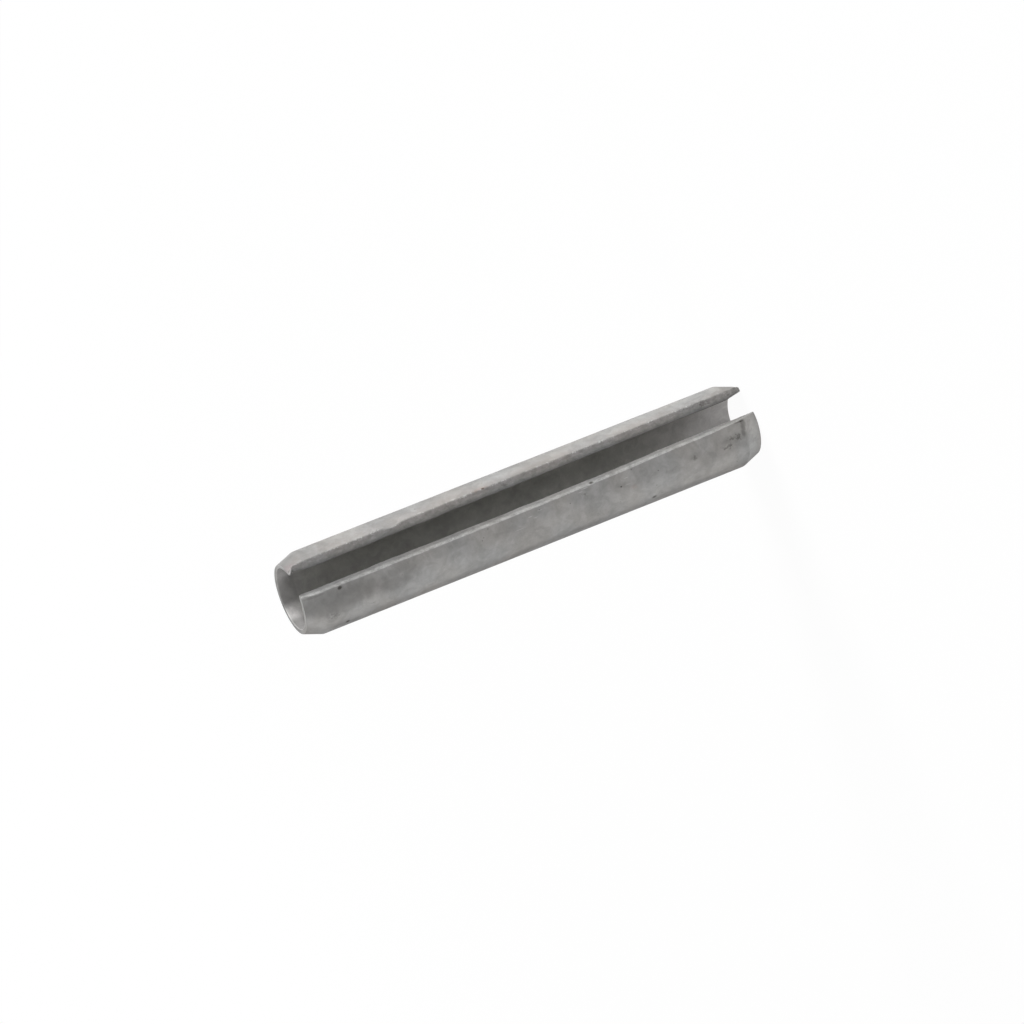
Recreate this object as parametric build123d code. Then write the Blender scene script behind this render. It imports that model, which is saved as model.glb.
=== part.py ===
import math
import os

from build123d import *

# A slotted spring pin: one strip of spring steel rolled into a tube that doesn't close,
# with both ends nosed down so that they start into the hole that the pin is driven into.
# The pin stands on one end, and Z runs along it. The origin is on its axis, halfway up,
# and there the slot opens towards -Y. Lengths are in millimetres and angles in degrees.

# Barrel, in its free state
pin_length = 50.0
outer_diameter = 8.5
wall = 0.75

# Noses
nose_length = 1.85       # how far each nose runs along the axis
nose_drop = 0.7          # how far its outside comes in towards the axis
end_face_width = 0.5     # of the ring that is left as the end face
shoulder_radius = 1.6    # where the barrel turns into the nose

# Slot
mouth_width = 3.8        # between the outer edges of the lips
throat_width = 2.4       # between their inner edges
slot_twist = 7.5         # how far it turns round the axis over the pin's length
bevel_overlap = 0.1      # how far the bevel of the lips runs on inside the bore
lip_outer_radius = 0.1   # rounding of the lips' edges
lip_inner_radius = 0.2

outer_radius = outer_diameter / 2
bore_radius = outer_radius - wall
nose_radius = outer_radius - nose_drop
half_length = pin_length / 2
barrel_half_length = half_length - nose_length


def nosed_tube():
    """The strip rolled up and nosed, as a closed ring that has no slot yet."""
    nose_bore_radius = nose_radius - end_face_width
    with BuildPart() as tube:
        with BuildSketch(Plane.XZ) as section:
            with BuildLine():
                Polyline(
                    (nose_radius, -half_length),
                    (outer_radius, -barrel_half_length),
                    (outer_radius, barrel_half_length),
                    (nose_radius, half_length),
                    (nose_bore_radius, half_length),
                    (bore_radius, barrel_half_length),
                    (bore_radius, -barrel_half_length),
                    (nose_bore_radius, -half_length),
                    close=True,
                )
            make_face()
            shoulders = section.vertices().sort_by(Axis.X)[-2:]
            fillet(shoulders, shoulder_radius)
        revolve(axis=Axis.Z)
    return tube.part


def chord_end(width, radius):
    """Where a chord across the slot meets a circle about the axis, on the +X side."""
    return Vector(width / 2, -math.sqrt(radius**2 - (width / 2) ** 2))


def slot_cutter():
    """What the slot takes away: parallel sides in the bore, then a bevel on each lip."""
    throat = chord_end(throat_width, bore_radius)
    mouth = chord_end(mouth_width, outer_radius)
    bevel = (mouth - throat).normalized()
    knee = throat - bevel * bevel_overlap
    rim = mouth + bevel * outer_radius
    run = pin_length + 2 * wall
    twist = slot_twist * run / pin_length
    start = Plane.XY.offset(-run / 2).rotated((0, 0, twist / 2))
    with BuildSketch(start) as section:
        with BuildLine():
            right = Polyline((knee.X, 0), (knee.X, knee.Y), (rim.X, rim.Y))
            left = Polyline((-rim.X, rim.Y), (-knee.X, knee.Y), (-knee.X, 0))
            Line(right @ 1, left @ 0)
            Line(left @ 1, right @ 0)
        make_face()
    across = section.sketch.face()
    return Solid.extrude_linear_with_rotation(across, start.origin, (0, 0, run), -twist)


def radius_of(point):
    """A point's distance from the pin's axis."""
    return math.hypot(point.X, point.Y)


def outer_lip_edges(pin):
    """The edges along both lips on the outside, noses and shoulders included."""
    mouth_angle = math.degrees(math.asin(mouth_width / outer_diameter))
    nearest_to_end = half_length - lip_outer_radius

    def on_outside(point):
        along_nose = max(0, abs(point.Z) - barrel_half_length)
        outside = outer_radius - nose_drop * along_nose / nose_length
        return radius_of(point) > outside - wall / 4

    def on_lip(point):
        angle = math.degrees(math.atan2(abs(point.X), -point.Y))
        return angle < mouth_angle + slot_twist and abs(point.Z) < nearest_to_end

    return [edge for edge in pin.edges() if on_lip(edge @ 0.5) and on_outside(edge @ 0.5)]


def inner_lip_edges(pin):
    """The two edges that run along the slot inside the barrel."""
    along = [edge for edge in pin.edges() if edge.length > barrel_half_length]
    return [edge for edge in along if radius_of(edge @ 0.5) < bore_radius + wall / 4]


pin = nosed_tube() - slot_cutter()
pin = fillet(outer_lip_edges(pin), lip_outer_radius)
pin = fillet(inner_lip_edges(pin), lip_inner_radius)

os.makedirs("parts", exist_ok=True)
export_step(pin, "parts/spring_pin.step")
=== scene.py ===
import math
from types import SimpleNamespace

import bpy
from mathutils import Matrix, Vector


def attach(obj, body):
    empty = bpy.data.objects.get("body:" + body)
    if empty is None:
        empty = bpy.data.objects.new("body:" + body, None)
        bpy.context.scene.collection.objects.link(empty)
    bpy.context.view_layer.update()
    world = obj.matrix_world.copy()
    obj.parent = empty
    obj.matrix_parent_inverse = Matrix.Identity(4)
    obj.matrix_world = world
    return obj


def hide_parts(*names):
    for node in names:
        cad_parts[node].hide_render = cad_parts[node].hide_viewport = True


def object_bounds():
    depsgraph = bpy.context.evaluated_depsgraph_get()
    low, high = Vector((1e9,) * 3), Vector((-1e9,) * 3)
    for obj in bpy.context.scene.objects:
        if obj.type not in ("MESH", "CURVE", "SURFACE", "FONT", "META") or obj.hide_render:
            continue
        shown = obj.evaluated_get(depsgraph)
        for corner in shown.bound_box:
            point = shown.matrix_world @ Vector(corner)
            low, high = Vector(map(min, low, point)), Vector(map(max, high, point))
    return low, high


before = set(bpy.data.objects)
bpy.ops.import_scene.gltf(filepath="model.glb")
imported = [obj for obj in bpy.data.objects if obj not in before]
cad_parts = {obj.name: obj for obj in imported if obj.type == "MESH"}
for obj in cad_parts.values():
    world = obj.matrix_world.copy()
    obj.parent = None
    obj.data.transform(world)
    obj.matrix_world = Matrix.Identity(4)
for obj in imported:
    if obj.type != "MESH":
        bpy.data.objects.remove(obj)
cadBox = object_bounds()

mm = 0.001                         # in metres
degree = math.radians(1.0)         # in radians
white = (1.0, 1.0, 1.0, 1.0)


# Node trees are written as Python expressions: a Wire is one output socket, and
# arithmetic on it adds Math nodes. Every other node comes from Graph.add.
class Wire:
    def __init__(self, graph, socket):
        self.graph = graph
        self.socket = socket

    def math(self, operation, *others):
        return self.graph.add("ShaderNodeMath", {"operation": operation}, [self, *others])

    def __add__(self, other):
        return self.math("ADD", other)

    def __sub__(self, other):
        return self.math("SUBTRACT", other)

    def __rsub__(self, other):
        return self.graph.add("ShaderNodeMath", {"operation": "SUBTRACT"}, [other, self])

    def __mul__(self, other):
        return self.math("MULTIPLY", other)

    def __truediv__(self, other):
        return self.math("DIVIDE", other)

    def __pow__(self, other):
        return self.math("POWER", other)

    def __neg__(self):
        return self.math("MULTIPLY", -1.0)

    def __abs__(self):
        return self.math("ABSOLUTE")

    def __gt__(self, other):
        return self.math("GREATER_THAN", other)

    def __lt__(self, other):
        return self.math("LESS_THAN", other)

    __radd__ = __add__
    __rmul__ = __mul__

    def between(self, low, high):
        return self.math("MAXIMUM", low).math("MINIMUM", high)

    def ramp(self, start, end):                         # a smooth step from 0 to 1
        return self.graph.add("ShaderNodeMapRange", {"interpolation_type": "SMOOTHSTEP"},
                              {"Value": self, "From Min": start, "From Max": end})


class Graph:
    def __init__(self, tree):
        self.tree = tree
        tree.nodes.clear()

    def add(self, kind, settings=None, inputs=(), output=None):
        node = self.tree.nodes.new(kind)
        for name, value in (settings or {}).items():
            setattr(node, name, value)
        pairs = inputs.items() if isinstance(inputs, dict) else enumerate(inputs)
        for key, value in pairs:
            if isinstance(value, Wire):
                self.tree.links.new(value.socket, node.inputs[key])
            else:
                node.inputs[key].default_value = value
        shown = [s for s in node.outputs if s.enabled and output in (None, s.name)]
        return Wire(self, shown[0]) if shown else node

    def vector(self, x, y, z):
        return self.add("ShaderNodeCombineXYZ", {}, [x, y, z])

    def parts(self, vector, axes="XYZ"):
        return [self.add("ShaderNodeSeparateXYZ", {}, [vector], axis) for axis in axes]


# the camera, aimed at the pin's middle
cameraPlace = {
    "aroundDegrees": -22.2327,     # from -Y towards +X
    "upDegrees": 18.1166,
    "rollDegrees": 21.586,         # of the pin's image from level, its top to the left
    "distance": 0.46992,           # metres
    "lens": 169.356,               # millimetres, as the sensor is
    "sensor": 36.0,
    "shift": (-0.00848, -0.00324),
    "clip": (0.01, 20.0),          # metres
}


def makeCamera(place):
    around = place["aroundDegrees"] * degree
    up = place["upDegrees"] * degree
    roll = place["rollDegrees"] * degree
    level = math.cos(up)
    back = Vector((math.sin(around) * level, -math.cos(around) * level, math.sin(up)))
    across = Vector((math.cos(around), math.sin(around), 0.0))
    along = across.cross(back)      # the pin's image, from its top to its bottom
    right = along * math.cos(roll) - across * math.sin(roll)
    upward = along * math.sin(roll) + across * math.cos(roll)
    data = bpy.data.cameras.new("camera")
    data.lens = place["lens"]
    data.sensor_width = place["sensor"]
    data.shift_x, data.shift_y = place["shift"]
    data.clip_start, data.clip_end = place["clip"]
    camera = bpy.data.objects.new("camera", data)
    axes = Matrix((right, upward, back)).transposed().to_4x4()
    camera.matrix_world = Matrix.Translation(back * place["distance"]) @ axes
    bpy.context.collection.objects.link(camera)
    bpy.context.scene.camera = camera


makeCamera(cameraPlace)
print("camera placed")


# the pin: a flat strip of sheet metal, rolled up by Geometry Nodes
pinSizes = {                       # millimetres and degrees
    "Length": 50.0,
    "Outer Radius": 4.25,
    "Wall": 0.75,
    "Nose Length": 1.85,
    "Nose Drop": 0.7,
    "End Face": 0.5,
    "Slot Twist": 7.5,
    "Lip Outer Radius": 0.07,      # roundings of the strip's edges
    "Lip Inner Radius A": 0.28,    # lip A is on the +X side of the slot, lip B on the -X side
    "Lip Inner Radius B": 0.08,
    "Rim Radius": 0.06,
    "Top Flare A": 0.6,            # how far each lip springs out at its tips
    "Top Flare B": 0.3,
    "Bottom Flare A": 0.55,
    "Bottom Flare B": 0.0,
    "Flare Spread": 9.5,           # degrees from the lip over which that falls to about a third
    "Top Thinning A": 0.9,         # share of the wall that is missing at the tip of lip A
    "Bottom Thinning A": 0.45,
    "Top Pullback A": -7.2,        # degrees that this tip is drawn back, into the slot if negative
    "Bottom Pullback A": 5.0,
    "Throat Creep A": 0.27,        # how far the inner edge of each lip leans into the slot
    "Throat Creep B": 0.08,
    "Throat Wander": 0.16,         # and how much that varies
    "Top Lean B": 0.14,            # how far lip B comes into the slot towards each end
    "Bottom Lean B": 0.12,
    "Bottom Turn In B": 0.09,      # how far its edge is pressed inwards there
    "Top Closing B": 0.07,         # how far its outer edge alone comes into the slot there
    "Bottom Closing B": 0.17,
    "Bottom Ease B": 0.085,        # how far the inner edge of its tip is drawn back
    "Bottom Bore Ease": 0.8,       # share of the bore's taper that is missing opposite the slot
    "Top Bore Ease A": 0.36,       # and behind lip A
    "Edge Wander": 0.05,           # how much the cut edges vary
    "Nick Place": 14.1,            # one nick in lip A
    "Nick Depth": 0.2,
    "Surface Waviness": 0.03,      # how deep the wall's dents are
    "Seed": 4.0,
}
pinSpans = {                       # from where to where each form of the pin sets in
    "lipRounding": (0.15, 0.6),    # millimetres from the end
    "tip": (0.6, 0.0),
    "easedTip": (3.4, 0.6),
    "dents": (0.0, 1.5),
    "leanTop": (2.0, 18.0),        # millimetres along the pin, from its middle
    "leanBottom": (-6.0, -19.0),
    "turnIn": (-4.0, -16.0),
    "closingTop": (18.0, 22.0),
    "openingTop": (22.9, 23.7),
    "closingBottom": (-18.0, -24.0),
    "openingBottom": (-23.6, -25.2),
    "aboveNick": (0.8, 0.0),       # millimetres along the pin, from the nick
    "belowNick": (-2.0, -0.1),
    "thinLip": (8.0, 0.0),         # degrees from the lip
    "dentedLip": (10.0, 0.0),
    "turnedLip": (12.0, 0.0),
    "movedLip": (30.0, 0.0),
    "topBore": (80.0, 40.0),
    "bottomBore": (65.0, 128.0),
}
pinGrid = {                        # points, and how tightly they crowd at the strip's edges
    "Vertices X": (150, 0.8),      # around
    "Vertices Y": (8, 0.6),        # through
    "Vertices Z": (300, 0.78),     # along
}
stripHalfWidth = 10.55             # millimetres, laid flat
lipTurn = 157.0                    # degrees from the pin's back to a lip, nearly
noseBlends = (0.11, 0.03)          # how softly a nose sets in, outside and in the bore
slotSide = {                       # seen along the pin: a straight bevel from the bore outwards
    "halfThroat": 1.2,             # half the slot's width where the bevel starts
    "halfLeast": 1.1194,           # and in the nosed bore
    "lean": 0.8062,                # how far a millimetre of the bevel moves sideways
    "awaySquared": 3.7671,         # square of how far its line passes from the axis
    "start": 2.9125,               # where the bevel starts, from the line's nearest point
}


def pick(share, first, second):
    return first + share * (second - first)


def roundedStrip(g, size):          # a fine box, its edges rounded
    counts = {name: count for name, (count, share) in pinGrid.items()}
    box = g.add("GeometryNodeMeshCube", {}, {"Size": (2.0, 2.0, 2.0), **counts})
    spots = g.parts(g.add("GeometryNodeInputPosition"))
    halves = (stripHalfWidth, size["Wall"] * 0.5, size["Length"] * 0.5)
    shares = [share for count, share in pinGrid.values()]
    crowded = [(spot + (spot * math.pi).math("SINE") * (share / math.pi)) * half
               for spot, share, half in zip(spots, shares, halves)]

    # each point is pulled onto a ball that rolls inside the edges
    pastRim = (halves[2] - abs(crowded[2])).ramp(*pinSpans["lipRounding"])
    towardsB = spots[0].ramp(-0.5, 0.5)
    outwards = spots[1].ramp(-0.6, 0.6)
    innerRadius = pick(towardsB, size["Lip Inner Radius A"], size["Lip Inner Radius B"])
    lipRadius = pick(outwards, innerRadius, size["Lip Outer Radius"])
    ball = pick(pastRim, size["Rim Radius"], lipRadius)
    centres = [spot.between(ball - half, half - ball) for spot, half in zip(crowded, halves)]
    dx, dy, dz = [spot - centre for spot, centre in zip(crowded, centres)]
    reach = (dx * dx + dy * dy + dz * dz).math("SQRT").math("MAXIMUM", 1e-6)      # never zero
    return box, [centre + away / reach * ball for centre, away in zip(centres, (dx, dy, dz))]


def placeInStrip(size, spot):
    across, inWall, along = spot
    side = across / stripHalfWidth                      # -1 at lip A, 1 at lip B
    fromEnd = size["Length"] * 0.5 - abs(along)
    intoNose = 1.0 - fromEnd / size["Nose Length"]
    return SimpleNamespace(
        side=side,
        along=along,
        through=inWall / size["Wall"] + 0.5,            # 0 at the bore, 1 outside
        lipB=side > 0.0,
        top=along > 0.0,
        fromLip=(1.0 - abs(side)) * lipTurn,            # in degrees
        fromEnd=fromEnd,
        intoNose=intoNose,
        noseShare=intoNose.math("MAXIMUM", 0.0))


def wallRadii(size, at):            # of the bore and the outside, nosed in at the ends
    easedTop = (1.0 - at.lipB) * at.fromLip.ramp(*pinSpans["topBore"]) * size["Top Bore Ease A"]
    easedBottom = at.fromLip.ramp(*pinSpans["bottomBore"]) * size["Bottom Bore Ease"]
    eased = pick(at.top, easedBottom, easedTop)
    boreDrop = (size["Nose Drop"] + size["End Face"] - size["Wall"]) * (1.0 - eased)
    outerDrop = (at.intoNose * size["Nose Drop"]).math("SMOOTH_MAX", 0.0, noseBlends[0])
    innerDrop = (at.intoNose * boreDrop).math("SMOOTH_MAX", 0.0, noseBlends[1])
    return size["Outer Radius"] - size["Wall"] - innerDrop, size["Outer Radius"] - outerDrop


def springOpen(size, at, plainRadius):                  # the lips, at the noses
    flareA = pick(at.top, size["Bottom Flare A"], size["Top Flare A"])
    flareB = pick(at.top, size["Bottom Flare B"], size["Top Flare B"])
    fading = (-at.fromLip / size["Flare Spread"]).math("EXPONENT")
    return plainRadius + pick(at.lipB, flareA, flareB) * at.noseShare * fading


def drawnThin(size, at, wall):      # the two tips of lip A
    thin = pick(at.top, size["Bottom Thinning A"], size["Top Thinning A"]) * (1.0 - at.lipB)
    tip = at.fromEnd.ramp(*pinSpans["tip"])
    return thin * tip * at.fromLip.ramp(*pinSpans["thinLip"]) * at.through * wall


def wave(g, size, scale, where, offset):                # soft noise about zero
    return g.add("ShaderNodeTexNoise", {"noise_dimensions": "4D"}, {
        "Vector": where, "W": size["Seed"] + offset, "Scale": scale, "Detail": 1.0}) - 0.5


def halfSlotAngle(g, size, at, radius, edge):           # from the slot's middle to a lip
    rise = (radius * radius - slotSide["awaySquared"]).math("MAXIMUM", 0.0).math("SQRT")
    rise = rise - slotSide["start"]
    width = rise * slotSide["lean"] + slotSide["halfThroat"]
    creep = pick(at.lipB, size["Throat Creep A"], size["Throat Creep B"])
    creep = creep + wave(g, size, 0.45, edge, 5.0) * size["Throat Wander"]
    eased = at.lipB * (1.0 - at.top) * at.fromEnd.ramp(*pinSpans["easedTip"])
    inner = eased * size["Bottom Ease B"] - creep * (1.0 - at.noseShare)
    width = width.math("MAXIMUM", slotSide["halfLeast"]) + (1.0 - at.through) * inner

    # the outer edge of lip B closes in near each end, and opens again at its tips
    openingTop = at.along.ramp(*pinSpans["openingTop"]) * 1.5
    closingTop = (at.along.ramp(*pinSpans["closingTop"]) - openingTop) * size["Top Closing B"]
    openingBottom = at.along.ramp(*pinSpans["openingBottom"]) * 0.75
    closingBottom = at.along.ramp(*pinSpans["closingBottom"]) - openingBottom
    closing = pick(at.top, closingBottom * size["Bottom Closing B"], closingTop)
    width = width - at.through * at.lipB * closing
    return (width / radius).math("ARCSINE")


def nickInLipA(size, at):
    past = at.along - size["Nick Place"]
    nick = past.ramp(*pinSpans["aboveNick"]) * past.ramp(*pinSpans["belowNick"])
    return nick * (1.0 - at.lipB) * at.through.ramp(0.2, 1.0) * size["Nick Depth"]


def edgeTurn(g, size, at, plainRadius, edge, nick):     # how the cut edges wander and lean
    wander = wave(g, size, 0.22, edge, 0.0) * 2.0 + wave(g, size, 0.9, edge, 3.0) * 0.8
    wander = (wander + 0.7) * size["Edge Wander"]
    leanTop = at.along.ramp(*pinSpans["leanTop"]) * size["Top Lean B"]
    leanBottom = at.along.ramp(*pinSpans["leanBottom"]) * size["Bottom Lean B"]
    lean = at.lipB * (leanTop + leanBottom)
    pulledTop = at.fromEnd.ramp(*pinSpans["tip"]) * size["Top Pullback A"]
    pulledBottom = at.noseShare * size["Bottom Pullback A"]
    pulled = pick(at.top, pulledBottom, pulledTop) * (1.0 - at.lipB) * degree
    share = at.fromLip.ramp(*pinSpans["movedLip"])
    return share * ((wander - nick - lean) / plainRadius + pulled)


def pinTree(sizes):
    tree = bpy.data.node_groups.new("rolledPin", "GeometryNodeTree")
    g = Graph(tree)
    panel = tree.interface
    sockets = {name: panel.new_socket(name, in_out="INPUT", socket_type="NodeSocketFloat")
               for name in sizes}
    sockets["Metal"] = panel.new_socket("Metal", in_out="INPUT", socket_type="NodeSocketMaterial")
    panel.new_socket("Geometry", in_out="OUTPUT", socket_type="NodeSocketGeometry")
    size = {name: g.add("NodeGroupInput", output=name) for name in sockets}

    box, spot = roundedStrip(g, size)
    at = placeInStrip(size, spot)
    inner, outer = wallRadii(size, at)
    plainRadius = pick(at.through, inner, outer)
    sprung = springOpen(size, at, plainRadius)
    edge = g.vector(at.lipB * 7.0, 0.0, at.along)       # each lip has a wave of its own
    slotAngle = halfSlotAngle(g, size, at, sprung, edge)
    nick = nickInLipA(size, at)
    inward = edgeTurn(g, size, at, plainRadius, edge, nick)

    # the radius with its small dents, then the strip rolled round the axis
    turnIn = at.lipB * at.along.ramp(*pinSpans["turnIn"]) * at.fromLip.ramp(*pinSpans["turnedLip"])
    wobble = g.vector(at.side * 9.0, 0.0, at.along)
    dent = (wave(g, size, 0.35, wobble, 9.0) + 0.5) * size["Surface Waviness"]
    dent = dent * at.fromEnd.ramp(*pinSpans["dents"])
    radius = sprung - turnIn * size["Bottom Turn In B"] - drawnThin(size, at, outer - inner) - dent
    radius = radius - nick * 0.5 * at.fromLip.ramp(*pinSpans["dentedLip"])
    twist = at.along / size["Length"] * size["Slot Twist"] * degree
    turn = at.side * (math.pi - slotAngle - inward) + math.pi - twist
    x = turn.math("SINE") * radius * mm
    y = turn.math("COSINE") * radius * -mm
    place = g.vector(x, y, at.along * mm)

    # what the finish needs to know of each point: how far it is across, through and along
    known = g.vector(at.side, at.through, at.along)
    noted = g.add("GeometryNodeStoreNamedAttribute",
                  {"data_type": "FLOAT_VECTOR", "domain": "POINT"},
                  {"Geometry": box, "Name": "wallPlace", "Value": known})
    rolled = g.add("GeometryNodeSetPosition", {}, {"Geometry": noted, "Position": place})
    outward = g.add("GeometryNodeFlipFaces", {}, {"Mesh": rolled})  # rolling turned it inside out
    smooth = g.add("GeometryNodeSetShadeSmooth", {}, {"Geometry": outward})
    real = g.add("GeometryNodeRealizeInstances", {}, {"Geometry": smooth})
    finished = g.add("GeometryNodeSetMaterial", {}, {"Geometry": real, "Material": size["Metal"]})
    g.add("NodeGroupOutput", {}, {"Geometry": finished})
    return tree, {name: socket.identifier for name, socket in sockets.items()}


def makePin(sizes, metal):
    tree, identifiers = pinTree(sizes)
    holder = bpy.data.objects.new("pinHolder", bpy.data.meshes.new("pinHolder"))
    bpy.context.collection.objects.link(holder)
    modifier = holder.modifiers.new("rolledPin", "NODES")
    modifier.node_group = tree
    for name, value in sizes.items():
        modifier[identifiers[name]] = value
    modifier[identifiers["Metal"]] = metal
    evaluated = holder.evaluated_get(bpy.context.evaluated_depsgraph_get())
    mesh = bpy.data.meshes.new_from_object(evaluated)
    mesh.name = "springPin"
    holder.modifiers.clear()
    bpy.data.objects.remove(holder)
    pin = bpy.data.objects.new("springPin", mesh)
    bpy.context.collection.objects.link(pin)
    return pin


# the pin's finish
metalLook = {
    "warmGrey": (0.293, 0.285, 0.274, 1.0),
    "coolGrey": (0.280, 0.279, 0.275, 1.0),
    "boreGrey": (0.425, 0.420, 0.402, 1.0),
    "endLitBoreGrey": (0.490, 0.480, 0.474, 1.0),
    "dirtAndShade": (0.070, 0.066, 0.060, 1.0),
    "wearAndHighlight": (0.62, 0.62, 0.61, 1.0),
    "rust": (0.30, 0.17, 0.13, 1.0),
    "blush": (0.175, 0.140, 0.145, 1.0),
    "metallic": 0.55,
    "roughness": 0.62,
    "specular": 0.25,
    "edgeTint": (0.25, 0.25, 0.25, 1.0),
    "clouds": 0.32,                # pattern sizes, in turns a millimetre
    "mottle": 1.3,
    "grain": 5.5,
    "pricks": 1.1,
    "cloudDepth": 0.55,            # how much each pattern lightens and darkens
    "patchDepth": 0.10,
    "mottleDepth": 0.28,
    "grainDepth": 0.26,
    "fleckDepth": 0.9,
    "flankLight": 0.12,            # how much lighter or darker single places are
    "lipShadeA": 0.3,
    "poolLight": 0.82,
    "bottomLight": 0.6,
    "slotShade": 0.2,
    "slotLight": 0.2,
    "wornDots": 0.6,
    "prickDirt": 0.55,
    "mostDirt": 0.9,
    "bumpStrength": 0.6,
    "grainHeight": 0.010,          # relief, in millimetres
    "mottleHeight": 0.022,
    "fleckHeight": 0.04,
    "dirtDepth": 0.02,
    "shoulder": 1.75,              # where a nose begins, in millimetres from the end
}
faceBlend = (0.03, 0.005)          # millimetres over which one face's look gives way to another's
markFade = (1.25, 0.3)             # where a mark starts and where it is whole, 1 being its reach

# bands of painted light on the end faces: where each starts and where it is whole, from -1 at
# lip A to 1 at lip B, and how much lighter it is
rimLightBands = [(-0.35, -0.45, 0.17), (-0.52, -0.62, 0.33), (0.1, 0.5, 0.34)]

# single marks: along the pin from its middle, and round it from -Y towards +X (mm, degrees),
# how far they reach each way, and how strong they are
specks = [
    (21.17, -31.2, 0.26, 2.6, 0.85), (-6.34, -24.7, 0.28, 2.2, 1.0),
    (-12.6, -84.0, 0.3, 3.4, 0.7), (20.9, -91.0, 0.26, 3.4, 0.7),
    (-9.13, -44.7, 0.13, 1.5, 0.7), (3.77, 26.6, 0.16, 1.1, 0.85),
    (-22.95, -21.6, 0.55, 1.3, 0.5),
]
scuffs = [
    (-17.33, -45.0, 0.25, 2.8, 0.36), (22.35, -68.0, 0.5, 4.0, 0.3),
    (-20.7, -49.3, 0.28, 3.0, 0.36), (-21.2, -47.4, 0.32, 3.2, 0.44),
    (-21.6, -39.2, 0.4, 2.8, 0.34), (-22.3, -40.6, 0.28, 4.0, 0.42),
    (18.14, -70.7, 0.25, 2.2, 0.3), (-5.2, -35.5, 0.3, 2.0, 0.3), (1.6, 22.0, 0.25, 2.0, 0.3),
    (-20.7, 26.5, 0.45, 2.6, 0.4), (-24.2, 26.0, 0.25, 3.5, 0.45), (-23.5, 27.0, 0.3, 2.0, 0.3),
]
# smears of dirt; the broad ones near the top are painted shade, and the thin ones darken the edge
# where the bottom nose begins
smearsAndShadePatches = [
    (22.0, -48.0, 10.0, 22.0, 0.36), (24.2, 38.0, 3.0, 30.0, 0.38),
    (15.7, -40.0, 1.6, 10.0, 0.24), (-15.0, -52.0, 1.2, 5.0, 0.16),
    (3.9, -47.0, 1.8, 8.0, 0.12), (-9.0, -46.0, 1.2, 8.0, 0.12), (-21.8, -42.0, 1.5, 9.0, 0.25),
    (-17.5, -44.0, 1.0, 7.0, 0.14), (8.0, -36.0, 2.2, 7.0, 0.10),
    (-20.5, -50.0, 3.5, 13.0, 0.16), (4.5, -46.0, 4.0, 9.0, 0.10),
    (23.9, -30.6, 1.6, 3.2, 0.34), (-23.24, -24.0, 0.28, 7.0, 0.42),
    (-23.1, -31.0, 0.25, 6.0, 0.4), (-22.95, -37.5, 0.26, 6.5, 0.45),
    (13.8, -38.5, 1.8, 5.0, 0.10), (7.6, -51.0, 3.0, 8.0, 0.09), (-10.7, -47.0, 2.5, 8.0, 0.09),
]
scratches = [
    (0.73, -36.9, 0.28, 0.6, 0.3), (-0.39, -33.3, 0.35, 0.6, 0.25),
    (-5.5, -28.3, 0.4, 0.9, 0.35), (-4.9, -31.0, 0.3, 0.6, 0.3), (-9.88, -35.6, 0.3, 0.6, 0.3),
    (-9.9, -44.9, 0.4, 0.6, 0.22), (2.04, -48.1, 0.6, 0.6, 0.22), (13.4, 22.0, 0.8, 1.6, 0.35),
    (7.0, 27.6, 0.3, 1.2, 0.35), (-2.6, 26.6, 0.25, 1.0, 0.4), (0.2, -40.5, 0.25, 0.6, 0.25),
    (10.6, 27.0, 0.3, 0.9, 0.3), (0.9, 40.0, 9.0, 9.0, 0.09),
]
rustMarks = [
    (4.0, 27.8, 0.8, 3.0, 0.22), (-10.4, -52.0, 0.4, 3.0, 0.10), (2.0, 28.0, 36.0, 14.0, 0.055),
]
blushes = [(24.8, 28.0, 1.0, 10.0, 0.44)]


def metalPlace(g):                  # where a point is, and masks for the pin's faces
    metres = g.add("ShaderNodeTexCoord", output="Object")
    spot = g.add("ShaderNodeVectorMath", {"operation": "MULTIPLY"}, [metres, (1.0 / mm,) * 3])
    x, y = g.parts(spot, "XY")
    wallPlace = g.add("ShaderNodeAttribute", {"attribute_name": "wallPlace"}, output="Vector")
    side, through, along = g.parts(wallPlace)
    outside = through.ramp(0.9, 0.985)
    inside = through.ramp(0.1, 0.015)
    fromLip = (1.0 - abs(side)) * stripHalfWidth        # millimetres
    fromEnd = pinSizes["Length"] * 0.5 - abs(along)
    cutFace = fromLip.ramp(*faceBlend) * (1.0 - outside) * (1.0 - inside)
    return SimpleNamespace(
        spot=spot,
        around=x.math("ARCTAN2", -y) * math.degrees(1.0),
        side=side,
        through=through,
        along=along,
        outside=outside,
        inside=inside,
        fromLip=fromLip,
        fromEnd=fromEnd,
        cutFace=cutFace,
        endFace=fromEnd.ramp(*faceBlend) * (1.0 - cutFace),
        nose=fromEnd.ramp(2.0, 1.6) * outside,
        lipA=side < 0.0,
        lipB=side > 0.0,
        bottom=along < 0.0,
        towardsBottom=along.ramp(-10.0, -24.0),
        atTop=along.ramp(21.2, 24.4))


def noise(g, where, scale, detail=2.0, rough=0.5, twist=0.0):
    return g.add("ShaderNodeTexNoise", {"noise_dimensions": "3D"}, {
        "Vector": where, "Scale": scale, "Detail": detail, "Roughness": rough, "Distortion": twist})


def metalPatterns(g, look, spot):
    stretched = g.add("ShaderNodeVectorMath", {"operation": "MULTIPLY"}, [spot, (3.4, 3.4, 1.9)])
    return SimpleNamespace(
        clouds=noise(g, spot, look["clouds"], 3.0, 0.55, 0.6),
        patches=noise(g, spot, look["clouds"] * 2.3, 2.0, 0.5, 1.2),
        mottle=noise(g, spot, look["mottle"], 3.0, 0.6),
        grain=noise(g, spot, look["grain"], 2.0, 0.6),
        tint=noise(g, spot, look["clouds"] * 0.7, 1.0),
        flecks=noise(g, stretched, 1.0, 3.0, 0.6, 0.4))


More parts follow.
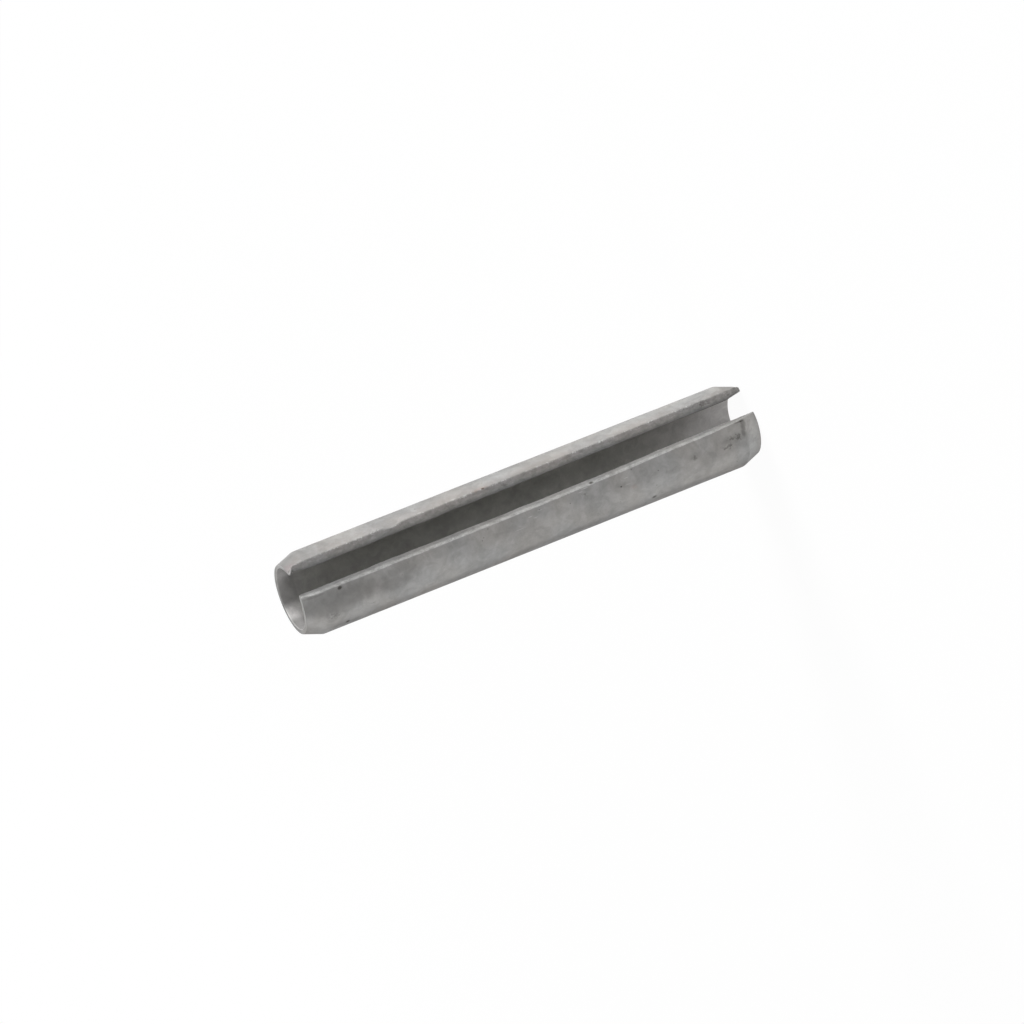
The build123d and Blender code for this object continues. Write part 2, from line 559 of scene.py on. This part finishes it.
def mix(g, share, first, second, kind="MIX"):           # sockets 6 and 7 are the two colours
    return g.add("ShaderNodeMix", {"data_type": "RGBA", "blend_type": kind}, {
        0: share, 6: first, 7: second})


def metalTone(look, at, pattern):   # dull grey with cloudy patches and a fine mottle, and painted light and shade on the nose, flank, end faces and cut faces
    side, along = at.side, at.along
    tone = 1.0 + (pattern.clouds - 0.5) * look["cloudDepth"]
    tone = tone + (pattern.patches.ramp(0.42, 0.62) - 0.5) * look["patchDepth"]
    tone = tone + (pattern.mottle - 0.5) * look["mottleDepth"]
    tone = tone + (pattern.grain - 0.5) * look["grainDepth"]

    # painted light and shade on the nose at the bottom, and painted light on the flank on the +X
    # side
    rimShade = at.fromEnd.ramp(0.9, 0.1) * (0.07 + side.ramp(0.7, 0.9) * 0.14)
    noseLight = side.ramp(-0.2, 0.4) * 0.42 - 0.05 - rimShade
    tone = tone * (1.0 + at.nose * at.bottom * noseLight)
    litFlank = at.outside * at.around.ramp(0.0, 40.0) * at.around.ramp(160.0, 90.0)
    tone = tone * (1.0 + litFlank * along.ramp(5.0, -18.0) * look["flankLight"])

    # the end faces: a painted lit spot and a painted shaded spot opposite the slot, and bands of
    # painted light round the rim
    litSpot = abs(side - 0.07).ramp(0.08, 0.0) * 0.08
    shadedSpot = abs(side + 0.08).ramp(0.1, 0.0) * 0.28
    rim = litSpot - shadedSpot - 0.05
    for start, whole, lighter in rimLightBands:
        rim = rim + side.ramp(start, whole) * lighter
    tone = tone * (1.0 + at.endFace * rim)

    # the cut faces: flecked, with painted shade on lip A towards the bore and on lip B all over,
    # and painted light on lip A near the bottom
    tone = tone * (1.0 + at.cutFace * (pattern.flecks - 0.5) * look["fleckDepth"])
    shadeA = at.lipA * at.fromLip.ramp(0.5, 0.25) * at.through.ramp(0.65, 0.05)
    tone = tone * (1.0 - shadeA * look["lipShadeA"])
    tone = tone * (1.0 + at.cutFace * at.lipA * along.ramp(-21.0, -23.5) * 0.15)
    shadeB = 0.3 + along.ramp(0.0, 8.0) * 0.16 - along.ramp(-22.0, -23.5) * 0.12
    shadeB = shadeB - along.ramp(23.3, 23.9) * at.through.ramp(0.2, 0.7) * 0.25
    return tone * (1.0 - at.cutFace * at.lipB * shadeB)


def boreLight(look, at):            # light that comes in at the open ends and the slot
    side, along = at.side, at.along
    bottomGlow = along.ramp(-20.5, -24.5) * (-side).ramp(0.15, 0.5)
    lit = at.towardsBottom * 0.15 + bottomGlow * look["bottomLight"]

    # at the top: a pool opposite the slot, shade on both sides of it, then a band behind lip A
    pool = at.atTop * abs(side - 0.015).ramp(0.14, 0.0)
    poolShade = side.ramp(0.05, 0.16) * 0.22 + side.ramp(-0.04, -0.12) * 0.2
    bandA = side.ramp(-0.25, -0.45) * 0.12 - side.ramp(-0.45, -0.6) * 0.24
    lit = lit + pool * look["poolLight"] - at.atTop * poolShade + at.atTop * bandA

    # along the slot: darker on lip B's side towards the top, and lighter behind lip A
    darkSide = side.ramp(-0.34, -0.1) * along.ramp(-8.0, 18.0) * (1.0 - at.atTop)
    lightSide = side.ramp(-0.33, -0.42) * along.ramp(-16.0, -6.0)
    return lit - darkSide * look["slotShade"] + lightSide * look["slotLight"]


def highlightAndWornCorners(look, at, pattern):  # bright: a painted highlight along lip B, and worn dots along lip A
    dots = (pattern.mottle + pattern.grain).ramp(1.02, 1.3)
    line = (pattern.mottle - 0.5) * 0.6 + (pattern.grain - 0.5) * 0.5 + 0.21
    wornA = at.lipA * at.through.ramp(0.75, 0.95) * dots * look["wornDots"]
    paintedHighlightB = at.lipB * at.through.ramp(0.35, 0.85) * line
    dullStretch = abs(at.along - 22.2).ramp(1.6, 0.4) * 0.4
    wearAndHighlight = at.fromLip.ramp(0.1, 0.03) * (wornA + paintedHighlightB * (1.0 - dullStretch))
    return wearAndHighlight * (1.0 - at.along.ramp(-18.0, -24.0) * 0.45)


def marked(at, rows, edge):         # how strong the strongest mark is at a point
    total = 0.0
    for where, turn, length, width, strength in rows:
        reach = ((at.along - where) / length) ** 2.0 + ((at.around - turn) / width) ** 2.0
        reach = reach.math("SQRT") + edge
        total = (reach.ramp(*markFade) * strength).math("MAXIMUM", total)
    return total


def metalDirtAndShade(g, look, at, pattern, broken):
    pricks = g.add("ShaderNodeTexVoronoi", {}, {"Vector": at.spot, "Scale": look["pricks"]})
    places = noise(g, at.spot, 0.6, 1.0).ramp(0.5, 0.62)
    fewPricks = pricks.ramp(0.11, 0.04) * places * look["prickDirt"]

    # a darker line where the bottom nose begins, and a band of painted shade along the -X side
    shoulder = abs(at.fromEnd - look["shoulder"]).ramp(0.2, 0.0) * at.bottom
    shoulder = shoulder * (0.1 + (pattern.mottle - 0.45) * 0.9)
    shadeBand = at.around.ramp(-80.0, -94.0) * at.around.ramp(-126.0, -110.0)
    shadeBand = shadeBand * (0.26 + (pattern.mottle - 0.5) * 0.8) * at.along.ramp(23.3, 22.3)

    broadDirtAndShade = marked(at, smearsAndShadePatches, (pattern.clouds - 0.5) * 1.5)
    broadDirtAndShade = broadDirtAndShade.math("MAXIMUM", shoulder).math("MAXIMUM", shadeBand)
    dots = marked(at, specks, (pattern.mottle - 0.5) * 1.2)
    dots = marked(at, scuffs, broken).math("MAXIMUM", dots)
    dirtAndShade = broadDirtAndShade.math("MAXIMUM", fewPricks) * at.outside + dots * at.through.ramp(0.3, 0.5)
    return dirtAndShade.between(0.0, look["mostDirt"])


def makeMetal(look):
    material = bpy.data.materials.new("dullSpringSteel")
    material.use_nodes = True
    g = Graph(material.node_tree)
    at = metalPlace(g)
    pattern = metalPatterns(g, look, at.spot)
    clouds, mottle, grain = pattern.clouds, pattern.mottle, pattern.grain
    broken = (mottle - 0.5) * 1.6 + (grain - 0.5) * 3.6            # breaks marks up into specks
    tone = metalTone(look, at, pattern) * (1.0 + at.inside * boreLight(look, at))
    wearAndHighlight = highlightAndWornCorners(look, at, pattern)
    dirtAndShade = metalDirtAndShade(g, look, at, pattern, broken)
    scratched = marked(at, scratches, (grain - 0.5) * 1.2) * at.outside
    rusted = marked(at, rustMarks, broken) * (at.through > 0.5)
    blushed = marked(at, blushes, (clouds - 0.5) * 0.6) * at.through.ramp(0.1, 0.3)

    # painted light in the bore near its open ends: a lighter grey there
    litNearEnds = at.towardsBottom.math("MAXIMUM", at.atTop)
    bore = mix(g, litNearEnds, look["boreGrey"], look["endLitBoreGrey"])
    base = mix(g, pattern.tint.ramp(0.35, 0.65), look["warmGrey"], look["coolGrey"])
    base = mix(g, at.inside, base, bore)
    grey = g.add("ShaderNodeCombineColor", {}, [tone, tone, tone])
    base = mix(g, 1.0, base, grey, "MULTIPLY")
    # the pale grey of the worn dots and scratches, and of the painted highlight along lip B
    base = mix(g, wearAndHighlight.between(0.0, 1.0), base, look["wearAndHighlight"])
    # dirt, and the painted shade of the -X band and of the broad smears, in one dark colour
    base = mix(g, dirtAndShade, base, look["dirtAndShade"])
    base = mix(g, scratched, base, look["wearAndHighlight"])
    base = mix(g, rusted, base, look["rust"])
    base = mix(g, blushed, base, look["blush"])

    roughness = look["roughness"] + (clouds - 0.5) * 0.18 + (grain - 0.5) * 0.12
    roughness = roughness + at.cutFace * 0.1 - wearAndHighlight * 0.12 + dirtAndShade * 0.2

    # relief: a blasted grain, shallow dimples, and the rough grain of the sheared lips
    relief = grain * look["grainHeight"] + mottle * look["mottleHeight"]
    relief = relief + pattern.flecks * at.cutFace * look["fleckHeight"] - dirtAndShade * look["dirtDepth"]
    bumped = g.add("ShaderNodeBump", {}, {
        "Strength": look["bumpStrength"], "Distance": mm, "Height": relief})

    shader = g.add("ShaderNodeBsdfPrincipled", {}, {
        "Base Color": base, "Metallic": look["metallic"], "Roughness": roughness, "Normal": bumped,
        "Specular IOR Level": look["specular"], "Specular Tint": look["edgeTint"]})
    g.add("ShaderNodeOutputMaterial", {}, {"Surface": shader})
    return material


metal = makeMetal(metalLook)
pin = makePin(pinSizes, metal)
print("pin made:", len(pin.data.vertices), "points,", len(pin.data.polygons), "faces")


# floor, world and lamps
stageLook = {
    "floorHalf": 2.0,              # metres
    "seenWhite": 0.96,             # share of the floor that is plain white to the eye near the pin
    "shadowReach": (0.06, 0.3),    # where that share starts growing, and where it is all white
    "floorGrey": 0.9,
    "world": 0.33,
}


def seenStraight(g):                # 1 for what the camera sees, also in the metal
    names = ("Is Camera Ray", "Is Glossy Ray", "Is Transmission Ray")
    rays = [g.add("ShaderNodeLightPath", output=name) for name in names]
    return rays[0].math("MAXIMUM", rays[1]).math("MAXIMUM", rays[2])


def makeFloor(look):
    half, low = look["floorHalf"], cadBox[0][2]
    corners = [(-half, -half, low), (half, -half, low), (half, half, low), (-half, half, low)]
    mesh = bpy.data.meshes.new("floor")
    mesh.from_pydata(corners, [], [(0, 1, 2, 3)])
    floor = bpy.data.objects.new("floor", mesh)
    bpy.context.collection.objects.link(floor)
    material = bpy.data.materials.new("paleFloor")
    material.use_nodes = True
    g = Graph(material.node_tree)
    matt = g.add("ShaderNodeBsdfDiffuse", {}, {"Color": (look["floorGrey"],) * 3 + (1.0,)})
    glow = g.add("ShaderNodeEmission", {}, {"Color": white, "Strength": 1.0})
    spot = g.add("ShaderNodeTexCoord", output="Object")
    away = g.add("ShaderNodeVectorMath", {"operation": "LENGTH"}, [spot], "Value")
    share = away.ramp(*look["shadowReach"]) * (1.0 - look["seenWhite"]) + look["seenWhite"]
    mixed = g.add("ShaderNodeMixShader", {}, [seenStraight(g) * share, matt, glow])
    g.add("ShaderNodeOutputMaterial", {}, {"Surface": mixed})
    mesh.materials.append(material)
    return floor


def makeWorld(look):
    world = bpy.data.worlds.new("studio")
    bpy.context.scene.world = world
    world.use_nodes = True
    g = Graph(world.node_tree)
    strength = seenStraight(g) * (1.0 - look["world"]) + look["world"]
    background = g.add("ShaderNodeBackground", {}, {"Color": white, "Strength": strength})
    g.add("ShaderNodeOutputWorld", {}, {"Surface": background})


lamps = [                          # name, direction it stands in, distance and size (m), watts
    ("softbox", (0.92, -0.42, 0.4), 0.8, 0.4, 9.0),
    ("overhead", (0.55, -0.35, 0.9), 0.8, 0.5, 0.7),
    ("fill", (-0.98, 0.12, 0.18), 0.9, 0.45, 3.7),
]


def makeLamps(rows):
    for name, direction, distance, width, watts in rows:
        data = bpy.data.lights.new(name, "AREA")
        data.shape = "SQUARE"
        data.size = width
        data.energy = watts
        lamp = bpy.data.objects.new(name, data)
        away = Vector(direction).normalized()
        facing = away.to_track_quat("Z", "Y").to_matrix().to_4x4()
        lamp.matrix_world = Matrix.Translation(away * distance) @ facing
        bpy.context.collection.objects.link(lamp)


floor = makeFloor(stageLook)
makeWorld(stageLook)
makeLamps(lamps)
bpy.context.scene.view_settings.view_transform = "Standard"
print("stage made")

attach(pin, "root")
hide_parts("spring_pin")
